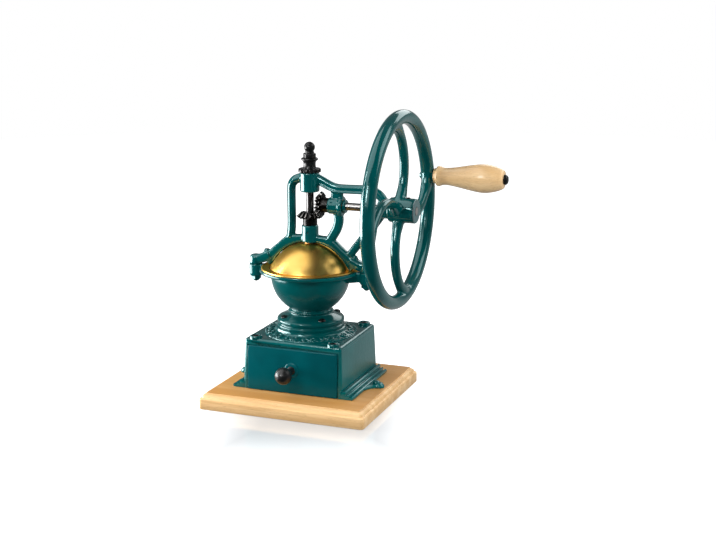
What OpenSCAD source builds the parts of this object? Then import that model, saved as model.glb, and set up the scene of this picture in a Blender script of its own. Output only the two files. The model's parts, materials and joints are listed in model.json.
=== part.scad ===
// Table mill for coffee: flywheel, bevel gears, bowl with a turning dome, drawer.
// Millimetres. Z is up, the origin is on the spindle axis at the underside of the board.
// X points to the flywheel, the drawer opens towards minus Y.

// Which sub-part is drawn

/* [Base board] */
// Width of the wooden board
board_w = 180; // [166:1:200]
// Depth of the wooden board
board_d = 170; // [150:1:190]
// Thickness of the wooden board
board_h = 16.8; // [15:0.1:20]
// Height of its upright edge below the moulding
board_side = 11.8; // [9:0.1:13]
// Width of the moulding round the top
board_inset = 5.8; // [4:0.1:8]
// Radius of the upright corners
board_corner = 4; // [2:0.5:6]

/* [Grounds box] */
// Width of the box at the bottom
box_w = 110; // [108:1:114]
// Depth of the box at the bottom
box_d = 103; // [102:1:112]
// Height of the box
box_h = 53.2; // [51:0.2:60]
// How far each side leans in over the height
box_taper = 2; // [1:0.1:2.5]
// Thickness of the side and back walls at the top
box_wall = 3.2; // [2.6:0.1:4]
// Thickness of the top plate
box_plate = 5; // [4:0.5:5.5]
// Height of the front rail over the drawer
box_head = 6.5; // [6:0.5:8]
// Width of the skirting along each side
skirt_w = 11.5; // [9:0.5:13]
// Height of the skirting
skirt_h = 10.5; // [9:0.5:13]
// Reach of the screw ears beyond the side
ear_reach = 25; // [22:0.5:27]
// Half width of an ear at its root
ear_half = 21; // [17:0.5:25]
// Thickness of an ear
ear_t = 5; // [4:0.5:7]
// Radius of the raised round ornament
disc_r = 48; // [46:0.5:48.5]
// Height of the raised round ornament
disc_h = 7; // [6:0.5:9]
// Number of beads round the ornament
bead_n = 24; // [12:1:30]
// Diameter of a bead
bead_d = 3.6; // [2.4:0.2:4.4]

/* [Drawer] */
// Thickness of the drawer front
front_t = 5; // [4:0.5:6]
// How far the front stands out of the box
front_proud = 1.5; // [0.5:0.25:2]
// Gap round the drawer front
front_gap = 0.4; // [0.2:0.1:1]
// Space behind the tray
tray_gap = 4.3; // [2:0.1:12]
// Space at each side of the tray
tray_side = 3; // [2:0.5:5]
// Height of the tray
tray_h = 38; // [28:1:40]
// Thickness of the tray walls
tray_wall = 2.5; // [1.5:0.5:4]
// Diameter of the ball knob
knob_d = 17.5; // [14:0.5:22]
// Distance of the ball from the drawer front
knob_reach = 20; // [17:0.5:26]
// Height of the knob over the drawer's lower edge
knob_up = 24.5; // [18:0.5:27]

/* [Bowl] */
// Height of the bowl casting
bowl_h = 60.5; // [58:0.5:64]
// Outer radius of the bowl
bowl_r = 41; // [39.5:0.5:42.5]
// Depth of the bowl's centre below the rim
bowl_drop = 6.5; // [5.5:0.5:8]
// Wall of the bowl
bowl_wall = 3.2; // [2.4:0.2:4]
// Radius of the rim flange
flange_r = 52.5; // [51:0.5:54]
// Thickness of the rim flange
flange_t = 3.5; // [2.5:0.5:5]
// Radius of the stepped collar
collar_r = 35; // [33.5:0.5:36]
// Height of the stepped collar
collar_h = 10; // [8:0.5:12]
// Radius of the neck under the bowl
neck_r = 21; // [20:0.5:24]
// Distance of the yoke bolts from the spindle
bolt_x = 62; // [60:0.5:66]
// Radius of the bolt bosses
lug_r = 7; // [6:0.5:8]
// Height of the bolt bosses under the rim
lug_h = 13; // [10:0.5:16]

/* [Burrs] */
// Outer radius of the fixed burr
burr_r = 20; // [18:0.5:21.5]
// Height of the fixed burr
burr_h = 13; // [11:0.5:13]
// Wall of the fixed burr at its lower edge
burr_lip = 2; // [1.5:0.25:3]
// Gap between the burrs at rest
burr_gap = 1; // [0.9:0.1:1.6]
// Number of grooves in the turning burr
burr_n = 10; // [6:1:14]

/* [Dome] */
// Outer radius of the turning half
dome_r = 46; // [45:0.25:46.5]
// Depth of the dome's centre below the rim
dome_drop = 19; // [18:0.5:21]
// Thickness of the sheet
dome_t = 1.2; // [0.8:0.1:1.6]
// Gap between the two halves
dome_gap = 0.4; // [0.3:0.1:0.7]
// Outer radius of the flat brim
brim_r = 51; // [48:0.5:51]

/* [Yoke] */
// Thickness of the yoke from front to back
yoke_t = 8.5; // [7.5:0.5:11]
// Gap between the dome and the arch
arch_gap = 0.7; // [0.5:0.1:1.5]
// Depth of the arch over the dome
arch_t = 8; // [6:0.5:10]
// Radius of the two spindle bosses
boss_r = 10; // [9:0.5:11]
// Height of the upper boss
boss_h = 20; // [17:0.5:22]
// Distance of the upper boss from the drive shaft
boss_up = 13; // [12.5:0.5:16]
// Distance of the left upright from the spindle
post_x = 20.5; // [19.5:0.5:24]
// Width of the left upright
post_w = 7; // [6:0.5:9]
// Width of the arm, strut and brace
arm_w = 8.4; // [7:0.2:10]
// Height of the level arm over the drive shaft
arm_up = 18.2; // [17:0.1:21]
// Radius of the inner bearing barrel
barrel_r = 8.6; // [8:0.2:9.6]
// Length of the inner bearing barrel
barrel_l = 16; // [13:0.5:18]
// Radius of the outer bearing barrel
far_r = 9.5; // [8.5:0.5:11]
// Length of the outer bearing barrel
far_l = 11; // [8:0.5:13]

/* [Gears] */
// Height of the drive shaft over the bowl rim
axis_up = 66.9; // [64:0.1:72]
// Pitch radius of both gears
gear_r = 13; // [12.5:0.25:13.5]
// Number of teeth on each gear
gear_n = 16; // [14:2:20]
// Face width of the teeth
gear_face = 6; // [4:0.5:6.5]
// Part of the tooth thickness taken away for backlash
gear_play = 0.14; // [0.1:0.01:0.25]
// Radius of the gear hubs
gear_hub_r = 7.5; // [6.5:0.25:8.5]
// Length of the gear hubs behind the pitch circle
gear_hub_l = 8.5; // [7:0.5:10]

/* [Spindle and adjuster] */
// Diameter of the spindle and of the drive shaft
shaft_d = 8; // [7:0.25:8.5]
// Radial clearance of running fits
run = 0.06; // [0.03:0.01:0.1]
// Radial clearance of fixed fits
seat = 0.02; // [0.01:0.01:0.05]
// Wall of the bearing bushes
bush_t = 2; // [1.5:0.25:2.5]
// Diameter of the notched flange
star_d = 23; // [19:0.5:26]
// Thickness of the notched flange
star_t = 4; // [3:0.5:5]
// Number of notches
star_n = 10; // [6:1:14]
// Diameter of the adjuster's body
spool_d = 12.7; // [11.5:0.1:14]
// Height of the adjuster's body
spool_h = 8.5; // [6:0.5:11]
// Diameter of the upper flange
cap_d = 17.4; // [15:0.2:20]
// Thickness of the upper flange
cap_t = 2; // [1.5:0.5:3]
// Height of the lock nut
lock_h = 5; // [4:0.5:6]
// Diameter of the ball finial
finial_d = 11.2; // [10.4:0.2:14]
// Height of the finial's centre over its foot
finial_up = 6; // [5.5:0.5:8]

/* [Flywheel] */
// Outer radius of the flywheel
wheel_r = 100; // [90:1:108]
// Diameter of the rim section
rim_d = 14.5; // [12:0.5:17]
// Distance of the wheel from the spindle
wheel_x = 97; // [96:0.5:104]
// Radius of the hub
hub_r = 12.5; // [11:0.5:14]
// Length of the hub beyond the wheel plane
hub_out = 18; // [12:0.5:20]
// Diameter of the spokes
spoke_d = 10.5; // [8:0.5:12]
// Number of spokes
spoke_n = 4; // [3:1:6]

/* [Grip] */
// Length of the grip
grip_l = 75; // [60:1:90]
// Largest diameter of the grip
grip_d = 30; // [26:0.5:34]
// Diameter of the crank pin
pin_d = 6; // [5:0.25:7]
// Diameter of the pin's domed head
pin_head_d = 11; // [9.5:0.5:13]
// Angle of the grip above the level at rest
grip_angle = 13.5; // [0:0.5:45]

/* [Screws] */
// Diameter of the screws in the box, the collar and the ears
screw_d = 4.4; // [3.6:0.2:4.8]
// Diameter of their heads
head_d = 8; // [7:0.2:8.4]
// Height of their heads
head_h = 2.6; // [2:0.1:3]
// Depth of the corner and collar screws in the piece below
bite = 4; // [3:0.25:4.5]
// Space under the point of a screw
point_gap = 0.5; // [0.3:0.1:1]
// Height of the pads under the corner screws
pad_h = 1; // [0.5:0.25:1.5]
// Diameter of the yoke bolts
bolt_d = 6; // [5:0.25:6.5]
// Depth of the yoke bolts in the yoke
bolt_bite = 6.5; // [5:0.25:7]
// Diameter of the brim screws
brim_screw_d = 3.2; // [2.6:0.1:3.6]

/* [Hidden] */
$fn = 64;
// Overlap that joins two shapes of one casting
melt = 1;
// Levels from the table upwards
z_top = board_h + box_h;
z_disc = z_top + disc_h;
z_rim = z_disc + bowl_h;
z_bowl = z_rim - bowl_drop;
z_dome = z_rim - dome_drop;
z_crown = z_dome + dome_r + dome_gap + dome_t;
z_arch = z_dome + dome_r + arch_gap + arch_t;
z_axis = z_rim + axis_up;
z_gear = z_axis - gear_r - gear_hub_l;
z_boss = z_axis + boss_up;
z_star = z_boss + boss_h;
z_lock = z_star + star_t + spool_h + cap_t;
z_finial = z_lock + lock_h;
// Radii of shafts and bushes
shaft_r = shaft_d / 2;
bush_r = shaft_r + run + bush_t;
// Inner size of the box
cell_half = box_w / 2 - box_taper - box_wall;
cell_back = box_d / 2 - box_taper - box_wall;
cell_top = z_top - box_plate;
// Drawer levels and faces
run_gap = 0.3;
z_tray = board_h + run_gap;
front_half = cell_half - front_gap;
front_back = front_t + box_taper - front_proud - box_d / 2;
front_top = z_top - box_head - front_gap;
tray_half = cell_half - tray_side;
tray_d = cell_back - front_back - tray_gap;
rail_w = 8;
rail_gap = 0.6;
rail_x = tray_half - rail_w / 2;
screw_y = box_d / 2 - 8;
z_knob = z_tray + knob_up;
knob_face = box_d / 2 + front_proud - box_taper * knob_up / box_h;
stem_r = 4.2;
knob_y = -knob_face - knob_reach;
knob_screw_r = 2;
// Positions along the drive shaft
barrel_x = gear_r + gear_hub_l;
collar_x = barrel_x + barrel_l;
hub_x = wheel_x - rim_d / 2 - 3;
far_x = hub_x - far_l - run_gap;
hub_end = wheel_x + hub_out;
// Flywheel rim and spoke arc
rim_r = wheel_r - rim_d / 2;
spoke_bend = rim_r * 0.541;
spoke_side = rim_r * -0.4;
spoke_rise = rim_r * 0.4475;
// Crank pin
pin_r = pin_d / 2;
pin_y = rim_r * cos(grip_angle);
pin_z = z_axis + rim_r * sin(grip_angle);
pad_r = 6.6;
pad_x = wheel_x + rim_d / 2 + 0.4;
pin_end = wheel_x - rim_d / 2 - 1.5;
grip_x = pad_x + run_gap;
head_x = grip_x + grip_l + run_gap;
// Screws
ear_tip_r = 6;
ear_screw_x = box_w / 2 + ear_reach - ear_tip_r - 1;
screw_r = screw_d / 2;
head_r = head_d / 2;
board_bite = board_h / 2;
collar_screw_r = collar_r - 5.5;
spot = 0.4;
bolt_r = bolt_d / 2;
brim_screw_r = brim_screw_d / 2;
brim_screw_x = brim_r - 2;
brim_screw_z = z_rim + 15;
brim_head_r = brim_screw_r + 1.4;
// Bowl, burrs and key
z_collar = z_disc + collar_h;
z_neck = z_bowl - sqrt(bowl_r * bowl_r - neck_r * neck_r);
throat_r = burr_r - 4;
mouth_r = burr_r - 1.5;
burr_slope = 0.4;
burr_top = burr_h + 3;
key_w = 2;
key_h = 6;
key_t = 2.6;
key_x = shaft_r - 1.2;
key_slack = 0.05;
// Dome and outer bearing
cut_y = yoke_t / 2 + 1;
brim_in = sqrt(dome_r * dome_r - dome_drop * dome_drop) + 0.5;
far_c = far_x + far_l / 2;

// Points of a quarter arc, for rounded outlines
function quarter(x, y, r, start) =
    [for (i = [0:6]) [x + r * cos(start + 15 * i), y + r * sin(start + 15 * i)]];
function rounded(w, d, r) = concat(
    quarter(w / 2 - r, d / 2 - r, r, 0),
    quarter(r - w / 2, d / 2 - r, r, 90),
    quarter(r - w / 2, r - d / 2, r, 180),
    quarter(w / 2 - r, r - d / 2, r, 270));
// A smooth line through given points
function smooth(p, n) = concat(
    [for (i = [0:len(p) - 2], k = [0:n - 1])
        let (t = k / n, a = p[max(i - 1, 0)], b = p[i], c = p[i + 1], d = p[min(i + 2, len(p) - 1)],
            u = 2 * a - 5 * b + 4 * c - d, v = 3 * b - a - 3 * c + d)
        0.5 * (2 * b + (c - a) * t + u * t * t + v * t * t * t)],
    [p[len(p) - 1]]);
function across(p, i) =
    let (v = p[min(i + 1, len(p) - 1)] - p[max(i - 1, 0)], l = norm(v))
    [-v[1] / l, v[0] / l];
// The outline of a bar of width w along a line
function ribbon(p, w) = concat(
    [for (i = [0:len(p) - 1]) p[i] + across(p, i) * w / 2],
    [for (i = [len(p) - 1:-1:0]) p[i] - across(p, i) * w / 2]);

// Both sides of the mill
module sides() {
    children();
    mirror([1, 0, 0]) children();
}

// A round rod along X from x0 to x1 on the drive axis
module rod_x(x0, x1, r) {
    translate([x0, 0, z_axis]) rotate([0, 90, 0]) cylinder(r = r, h = x1 - x0);
}

// A round rod along X from x0 to x1 on the crank pin
module pin_rod(x0, x1, r) {
    translate([x0, pin_y, pin_z]) rotate([0, 90, 0]) cylinder(r = r, h = x1 - x0);
}

// A round rod along Z from z0 to z1 on the spindle
module rod_z(z0, z1, r) {
    translate([0, 0, z0]) cylinder(r = r, h = z1 - z0);
}

// A prism along Y through an outline in X and Z
module along_y(length) {
    rotate([90, 0, 0]) linear_extrude(height = length, center = true) children();
}

// A prism along X through an outline in Y and Z
module along_x(length) {
    rotate([90, 0, 90]) linear_extrude(height = length, center = true) children();
}

// A screw with a slotted round head, its head resting at height 0
module round_screw(length) {
    translate([0, 0, -length]) cylinder(r = screw_r - seat, h = length + melt);
    difference() {
        cylinder(r1 = head_r, r2 = head_r * 0.7, h = head_h);
        translate([-head_r, -0.5, head_h - 1]) cube([2 * head_r, 1, 2]);
    }
}

module board_edge(w, d) {
    mid = (board_side + board_h) / 2;
    half = w / 2;
    outline = [[0, 0], [half, 0], [half, board_side], [half - board_inset * 0.35, board_side + 0.4],
        [half - board_inset * 0.5, mid], [half - board_inset * 0.75, board_h - 0.6],
        [half - board_inset, board_h], [0, board_h]];
    sides() along_y(d + 2) polygon(outline);
}

module base_board() {
    color("BurlyWood")
    difference() {
        intersection() {
            board_edge(board_w, board_d);
            rotate([0, 0, 90]) board_edge(board_d, board_w);
            linear_extrude(height = board_h) polygon(rounded(board_w, board_d, board_corner));
        }
        sides() translate([ear_screw_x, 0, board_h - board_bite - point_gap])
            cylinder(r = screw_r, h = board_bite + point_gap + melt);
    }
}

module box_shell(w, d) {
    half = w / 2;
    along_y(d) polygon([[-half, board_h], [half, board_h], [half - box_taper, z_top],
        [box_taper - half, z_top]]);
}

module skirting() {
    inner = cell_half + box_wall / 2 - box_w / 2;
    steps = [[1, 0], [1, 0.24], [0.72, 0.36], [0.62, 0.6], [0.36, 0.66], [0.24, 0.9], [0, 1]];
    translate([box_w / 2, 0, board_h]) along_y(box_d) polygon(concat([[inner, 0]],
        [for (p = steps) [p[0] * skirt_w, p[1] * skirt_h]], [[inner, skirt_h]]));
}

module ear() {
    s = box_w / 2;
    tip = quarter(ear_screw_x + 1, 0, ear_tip_r, -45);
    half = smooth([[s + ear_reach * 0.16, ear_half], [s + ear_reach * 0.36, ear_half * 0.72],
        [s + ear_reach * 0.52, ear_half * 0.42], [ear_screw_x - 2, ear_tip_r],
        [ear_screw_x + 2, ear_tip_r - 0.1]], 4);
    outline = concat(half, [for (i = [6:-1:0]) tip[i]],
        [for (i = [len(half) - 1:-1:0]) [half[i][0], -half[i][1]]]);
    translate([0, 0, board_h]) linear_extrude(height = ear_t) polygon(outline);
}

module beads() {
    for (i = [0:bead_n - 1])
        rotate([0, 0, 360 * (i + 0.5) / bead_n])
            translate([(disc_r + collar_r) / 2 - 1.5, 0, z_top + disc_h * 0.42]) sphere(d = bead_d);
}

module ornament() {
    w = disc_r - collar_r;
    steps = [[1, 0.2], [0.89, 0.34], [0.72, 0.34], [0.65, 0.26], [0.19, 0.71], [0.15, 1]];
    rotate_extrude() polygon(concat([[mouth_r, z_top - melt], [disc_r, z_top - melt]],
        [for (p = steps) [collar_r + p[0] * w, z_top + p[1] * disc_h]], [[mouth_r, z_disc]]));
}

module box_casting() {
    color("DarkSlateGray")
    difference() {
        union() {
            intersection() {
                box_shell(box_w, box_d);
                rotate([0, 0, 90]) box_shell(box_d, box_w);
            }
            sides() {
                skirting();
                ear();
            }
            ornament();
            beads();
            corners() translate([0, 0, z_top - melt]) cylinder(r = head_r + 0.8, h = melt + pad_h);
        }
        translate([-cell_half, -box_d, board_h - melt])
            cube([2 * cell_half, box_d, box_h - box_head + melt]);
        translate([-cell_half, -cell_back, board_h - melt])
            cube([2 * cell_half, 2 * cell_back, cell_top - board_h + melt]);
        rod_z(cell_top - melt, z_disc + melt, mouth_r);
        corners() translate([0, 0, cell_top - melt])
            cylinder(r = screw_r, h = box_plate + pad_h + 2 * melt);
        collar_ring() translate([0, 0, z_disc - bite - point_gap])
            cylinder(r = screw_r, h = bite + point_gap + melt);
        sides() translate([ear_screw_x, 0, board_h - melt]) cylinder(r = screw_r, h = ear_t + 2 * melt);
    }
}

// The four corner screws of the box top
module corners() {
    for (sx = [-1, 1], sy = [-1, 1]) translate([sx * rail_x, sy * screw_y, 0]) children();
}

module ear_screws() {
    color("Black") sides() translate([ear_screw_x, 0, board_h + ear_t]) round_screw(ear_t + board_bite);
}

module corner_screws() {
    color("Black") corners() translate([0, 0, z_top + pad_h]) round_screw(pad_h + box_plate + bite);
}

module rail(side) {
    low = z_tray + tray_h + run_gap;
    color("Gray")
    difference() {
        translate([side * rail_x - rail_w / 2, rail_gap - cell_back, low])
            cube([rail_w, 2 * (cell_back - rail_gap), cell_top - low]);
        for (sy = [-1, 1]) translate([side * rail_x, sy * screw_y, cell_top - bite - point_gap])
            cylinder(r = screw_r, h = bite + point_gap + melt);
    }
}

module rail_left() {
    rail(-1);
}

module rail_right() {
    rail(1);
}

// The face of the drawer front, leaning with the box
module front_block() {
    lean = box_taper / box_h;
    foot = -box_d / 2 - front_proud;
    along_x(2 * front_half) polygon([[foot + lean * run_gap, z_tray], [front_back, z_tray],
        [front_back, front_top], [foot + lean * (front_top - board_h), front_top]]);
}

// A round rod along Y from y0 to y1 on the knob
module rod_y(y0, y1, r) {
    translate([0, y0, z_knob]) rotate([-90, 0, 0]) cylinder(r = r, h = y1 - y0);
}

module drawer_front() {
    color("DarkSlateGray")
    difference() {
        front_block();
        rod_y(-box_d, 0, knob_screw_r);
    }
}

module drawer_tray() {
    color("Tan")
    difference() {
        translate([-tray_half, front_back, z_tray]) cube([2 * tray_half, tray_d, tray_h]);
        translate([tray_wall - tray_half, front_back + tray_wall, z_tray + tray_wall])
            cube([2 * (tray_half - tray_wall), tray_d - 2 * tray_wall, tray_h]);
        rod_y(front_back - melt, front_back + tray_wall + melt, knob_screw_r);
    }
}

module drawer_knob() {
    color("Black")
    difference() {
        union() {
            translate([0, knob_y, z_knob]) sphere(d = knob_d);
            rod_y(knob_y, -knob_face + melt, stem_r);
            rod_y(-knob_face - 3, -knob_face + melt, stem_r + 2.3);
        }
        front_block();
        rod_y(knob_y, 0, knob_screw_r);
    }
}

module knob_screw() {
    inside = front_back + tray_wall;
    color("Silver") {
        rod_y(knob_y + 1, inside + 0.5, knob_screw_r - seat);
        rod_y(inside, inside + 2.5, head_r);
    }
}

// The four screws of the collar
module collar_ring() {
    for (i = [0:3]) rotate([0, 0, 45 + 90 * i]) translate([collar_screw_r, 0, 0]) children();
}

module collar_shape() {
    core = throat_r - melt;
    top = z_neck + 0.6;
    steps = [[0, 0.28], [1.4, 0.34], [1.4, 0.5], [0, 0.56], [0, 0.8], [2.4, 1]];
    rotate_extrude() polygon(concat([[core, z_disc], [collar_r, z_disc]],
        [for (p = steps) [collar_r - p[0], z_disc + p[1] * collar_h]],
        [[neck_r + 1.5, z_collar + 3.5], [neck_r, z_collar + 4.5], [neck_r, top], [core, top]]));
}

module bowl_lug() {
    translate([bolt_x, 0, z_rim - lug_h]) cylinder(r = lug_r, h = lug_h);
    translate([bowl_r - 5, -yoke_t / 2, z_rim - lug_h + 3])
        cube([bolt_x - bowl_r + 5, yoke_t, lug_h - 3]);
}

module bowl_casting() {
    color("DarkSlateGray")
    difference() {
        union() {
            collar_shape();
            intersection() {
                translate([0, 0, z_bowl]) sphere(r = bowl_r);
                rod_z(z_collar, z_rim - flange_t / 2, bowl_r + 5);
            }
            rod_z(z_rim - flange_t, z_rim, flange_r);
            sides() bowl_lug();
        }
        translate([0, 0, z_bowl]) sphere(r = bowl_r - bowl_wall);
        rod_z(z_disc - melt, z_disc + burr_h, burr_r + seat);
        rod_z(z_disc - melt, z_bowl, throat_r);
        sides() translate([bolt_x, 0, z_rim - lug_h - melt]) cylinder(r = bolt_r, h = lug_h + 2 * melt);
        collar_ring() translate([0, 0, z_disc - melt]) cylinder(r = screw_r, h = collar_h + 6);
        collar_ring() translate([0, 0, z_collar + spot]) cylinder(r = head_r + spot, h = 6);
    }
}

module collar_screws() {
    color("Black") collar_ring() translate([0, 0, z_collar + spot]) round_screw(spot + collar_h + bite);
}

module outer_burr() {
    low = burr_r - burr_lip;
    color("Gray")
    rotate_extrude() polygon([[low, z_disc], [burr_r, z_disc], [burr_r, z_disc + burr_h],
        [low - burr_slope * burr_h, z_disc + burr_h]]);
}

module dome_shell(r) {
    difference() {
        translate([0, 0, z_dome]) sphere(r = r);
        translate([0, 0, z_dome]) sphere(r = r - dome_t);
    }
}

module dome_rear() {
    big = 2 * flange_r;
    color("Goldenrod") {
        difference() {
            dome_shell(dome_r + dome_gap + dome_t);
            translate([-big, -big, z_dome - big]) cube([2 * big, 2 * big, big + dome_drop]);
            translate([-big, -big, z_dome]) cube([2 * big, big + cut_y, big]);
            rod_z(z_dome, z_crown + melt, boss_r + 3);
        }
        difference() {
            rod_z(z_rim, z_rim + dome_t, brim_r);
            rod_z(z_rim - melt, z_rim + 3, brim_in);
        }
    }
}

module dome_front() {
    big = 2 * flange_r;
    low = z_rim + 0.2;
    color("Goldenrod")
    difference() {
        union() {
            difference() {
                dome_shell(dome_r);
                translate([-big, -big, low - big]) cube([2 * big, 2 * big, big]);
                translate([-big, cut_y + 3, z_dome]) cube([2 * big, big, big]);
            }
            intersection() {
                translate([0, 0, z_dome]) sphere(r = dome_r);
                rod_z(z_dome + dome_r - 5, z_dome + dome_r + melt, boss_r + 1);
            }
        }
        rod_z(z_dome, z_crown + melt, bush_r + run);
    }
}

module arch_outline() {
    low = z_rim + 2.4;
    inner = flange_r + 1.5;
    half = [[0, low], [0, z_arch], [post_x + 4.5, z_arch - 2], [bolt_x - 13.4, z_rim + 13.5],
        [bolt_x - 5, z_rim + 9], [bolt_x, z_rim + 8.5], [bolt_x, z_rim], [inner, z_rim], [inner, low]];
    difference() {
        for (side = [-1, 1]) polygon([for (p = half) [side * p[0], p[1]]]);
        translate([0, z_dome]) circle(r = dome_r + arch_gap);
    }
}

module yoke_web() {
    level = z_axis + arm_up;
    post = [[3 - boss_r, z_star - 5.5], [4.5 - post_x, z_star - 8.5], [0.6 - post_x, z_star - 13.5],
        [-post_x, z_star - 20], [-post_x, z_axis], [-post_x, z_arch + 8], [-post_x - 1.5, z_arch - 3]];
    arm = [[boss_r - 4, z_star - 6.5], [boss_r + 4, z_star - 9], [barrel_x + 2.5, level + 1.5],
        [barrel_x + 10.5, level], [far_c - 36, level], [far_c - 21, level + 0.3],
        [far_c - 11, level - 0.7], [far_c - 4, level - 5.5], [far_c, level - 13], [far_c, z_axis]];
    strut = [[barrel_x + 9, z_axis - 3], [barrel_x + 9, z_axis - 15], [barrel_x + 5, z_axis - 25],
        [barrel_x - 1, z_arch - 3]];
    brace = [[bolt_x - 18, z_rim + 17], [bolt_x - 4, z_rim + 35], [far_c - 11, z_axis - 17.5],
        [far_c - 3.5, z_axis - 7], [far_c, z_axis]];
    arch_outline();
    polygon(ribbon(smooth(post, 3), post_w));
    polygon(ribbon(smooth(arm, 3), arm_w));
    polygon(ribbon(smooth(strut, 4), arm_w + 1.5));
    polygon(ribbon(smooth(brace, 3), arm_w));
    translate([barrel_x + 2.5, z_axis]) square([barrel_l - 4, arm_up]);
}

module yoke() {
    color("DarkSlateGray")
    difference() {
        union() {
            along_y(yoke_t) yoke_web();
            rod_z(z_crown + 0.6, z_gear, boss_r);
            rod_z(z_boss, z_star, boss_r);
            rod_x(barrel_x, collar_x, barrel_r);
            rod_x(far_x, far_x + far_l, far_r);
            sides() translate([bolt_x, 0, z_rim]) cylinder(r1 = lug_r, r2 = lug_r - 1.5, h = 9.5);
            sides() translate([brim_screw_x, 0, z_rim + 6])
                cylinder(r = brim_head_r + 0.8, h = brim_screw_z - z_rim - 6);
        }
        rod_z(z_dome, z_gear + melt, bush_r + seat);
        rod_z(z_boss - melt, z_star + melt, bush_r + seat);
        rod_x(barrel_x - melt, collar_x + melt, bush_r + seat);
        rod_x(far_x - melt, far_x + far_l + melt, bush_r + seat);
        rod_x(collar_x, far_x, shaft_r + run_gap);
        sides() translate([bolt_x, 0, z_rim - melt]) cylinder(r = bolt_r, h = bolt_bite + point_gap + melt);
        sides() translate([brim_screw_x, 0, z_rim]) cylinder(r = brim_screw_r + seat, h = 20);
        sides() translate([brim_screw_x, 0, brim_screw_z]) cylinder(r = brim_head_r + 1.2, h = 8);
    }
}

module yoke_bolts() {
    nut_h = 3.4;
    tip_h = 2.6;
    color("Black") sides() translate([bolt_x, 0, z_rim - lug_h]) {
        translate([0, 0, melt - nut_h]) cylinder(r = bolt_r - seat, h = nut_h - melt + lug_h + bolt_bite);
        translate([0, 0, -nut_h]) cylinder(r = bolt_r + 2.6, h = nut_h, $fn = 6);
        translate([0, 0, -nut_h - tip_h]) cylinder(r1 = 1.4, r2 = bolt_r + 0.6, h = tip_h);
    }
}

module brim_screws() {
    color("Black") sides() translate([brim_screw_x, 0, 0]) {
        translate([0, 0, z_rim + dome_t])
            cylinder(r = brim_screw_r, h = brim_screw_z - z_rim - dome_t + melt);
        translate([0, 0, brim_screw_z]) cylinder(r1 = brim_head_r, r2 = brim_head_r - 0.8, h = 2.2);
    }
}

module bush_z(z0, z1) {
    color("Peru")
    difference() {
        rod_z(z0, z1, bush_r);
        rod_z(z0 - melt, z1 + melt, shaft_r + run);
    }
}

module bush_x(x0, x1) {
    color("Peru")
    difference() {
        rod_x(x0, x1, bush_r);
        rod_x(x0 - melt, x1 + melt, shaft_r + run);
    }
}

module lower_bush() {
    bush_z(z_dome + dome_r - 7, z_gear);
}

module upper_bush() {
    bush_z(z_boss, z_star);
}

module inner_bush() {
    bush_x(barrel_x, collar_x);
}

module outer_bush() {
    bush_x(far_x, far_x + far_l);
}

module spindle() {
    color("DimGray")
    difference() {
        rod_z(z_disc - 8, z_finial + 4, shaft_r);
        translate([key_x - 2 * key_slack, -key_w / 2 - key_slack, z_gear - 2])
            cube([shaft_r, key_w + 2 * key_slack, key_h + 5]);
    }
}

module inner_burr() {
    low = burr_r - burr_lip - burr_gap;
    tilt = atan(burr_slope);
    color("Gray")
    difference() {
        translate([0, 0, z_disc]) cylinder(r1 = low, r2 = low - burr_slope * burr_top, h = burr_top);
        rod_z(z_disc - melt, z_disc + burr_top + melt, shaft_r + seat);
        for (i = [0:burr_n - 1])
            rotate([0, 0, 360 * i / burr_n]) translate([low - 1.6, -1, z_disc - 2])
                rotate([12, -tilt, 0]) cube([6, 2, burr_top * 1.4]);
    }
}

module burr_nut() {
    color("Silver")
    difference() {
        translate([0, 0, z_disc - 6]) cylinder(r = shaft_r + 3.5, h = 6, $fn = 6);
        rod_z(z_disc - 7, z_disc + melt, shaft_r + seat);
    }
}

module finial() {
    foot = z_finial + run_gap;
    color("Black")
    difference() {
        union() {
            rod_z(foot, foot + finial_up - 1, shaft_r + 0.8);
            translate([0, 0, z_finial + finial_up]) sphere(d = finial_d);
        }
        rod_z(z_finial - melt, z_finial + 4, shaft_r + seat);
    }
}

// One ring of tooth points on a bevel gear whose apex is the origin, at distance a from the apex
function tooth_ring(a) =
    let (m = 2 * gear_r / gear_n, scale = a / (gear_r * sqrt(2)), up = 0.8 * m * scale,
        down = 1.05 * m * scale, half = PI * m / 4 * (1 - gear_play) * scale, flank = tan(20))
    [for (i = [0:gear_n - 1], p = [[-down, -1], [0, -1], [up, -1], [up, 1], [0, 1], [-down, 1]])
        let (r = (a + p[0]) / sqrt(2), z = (p[0] - a) / sqrt(2), t = half - p[0] * flank,
            turn = 360 * i / gear_n + p[1] * asin(t / r))
        [r * cos(turn), r * sin(turn), z]];

module bevel_teeth() {
    heel = gear_r * sqrt(2);
    toe = heel - gear_face;
    n = 6 * gear_n;
    outer = tooth_ring(heel);
    inner = tooth_ring(toe);
    points = concat(outer, inner, [[0, 0, outer[0][2]], [0, 0, inner[0][2]]]);
    faces = concat(
        [for (i = [0:n - 1]) [(i + 1) % n, i, n + i, n + (i + 1) % n]],
        [for (i = [0:n - 1]) [i, (i + 1) % n, 2 * n]],
        [for (i = [0:n - 1]) [n + (i + 1) % n, n + i, 2 * n + 1]]);
    polyhedron(points = points, faces = faces);
}

module crown_gear() {
    color("DimGray")
    difference() {
        union() {
            translate([0, 0, z_axis]) bevel_teeth();
            rod_z(z_gear, z_axis - gear_r - 0.2, gear_hub_r);
        }
        rod_z(z_gear - melt, z_axis, shaft_r + run);
        translate([0, -key_w / 2 - key_slack, z_gear - melt])
            cube([key_x + key_t + 2 * key_slack, key_w + 2 * key_slack, key_h + 2 * melt]);
    }
}

module gear_key() {
    color("Silver") translate([key_x, -key_w / 2, z_gear + melt / 2]) cube([key_t, key_w, key_h]);
}

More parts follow.
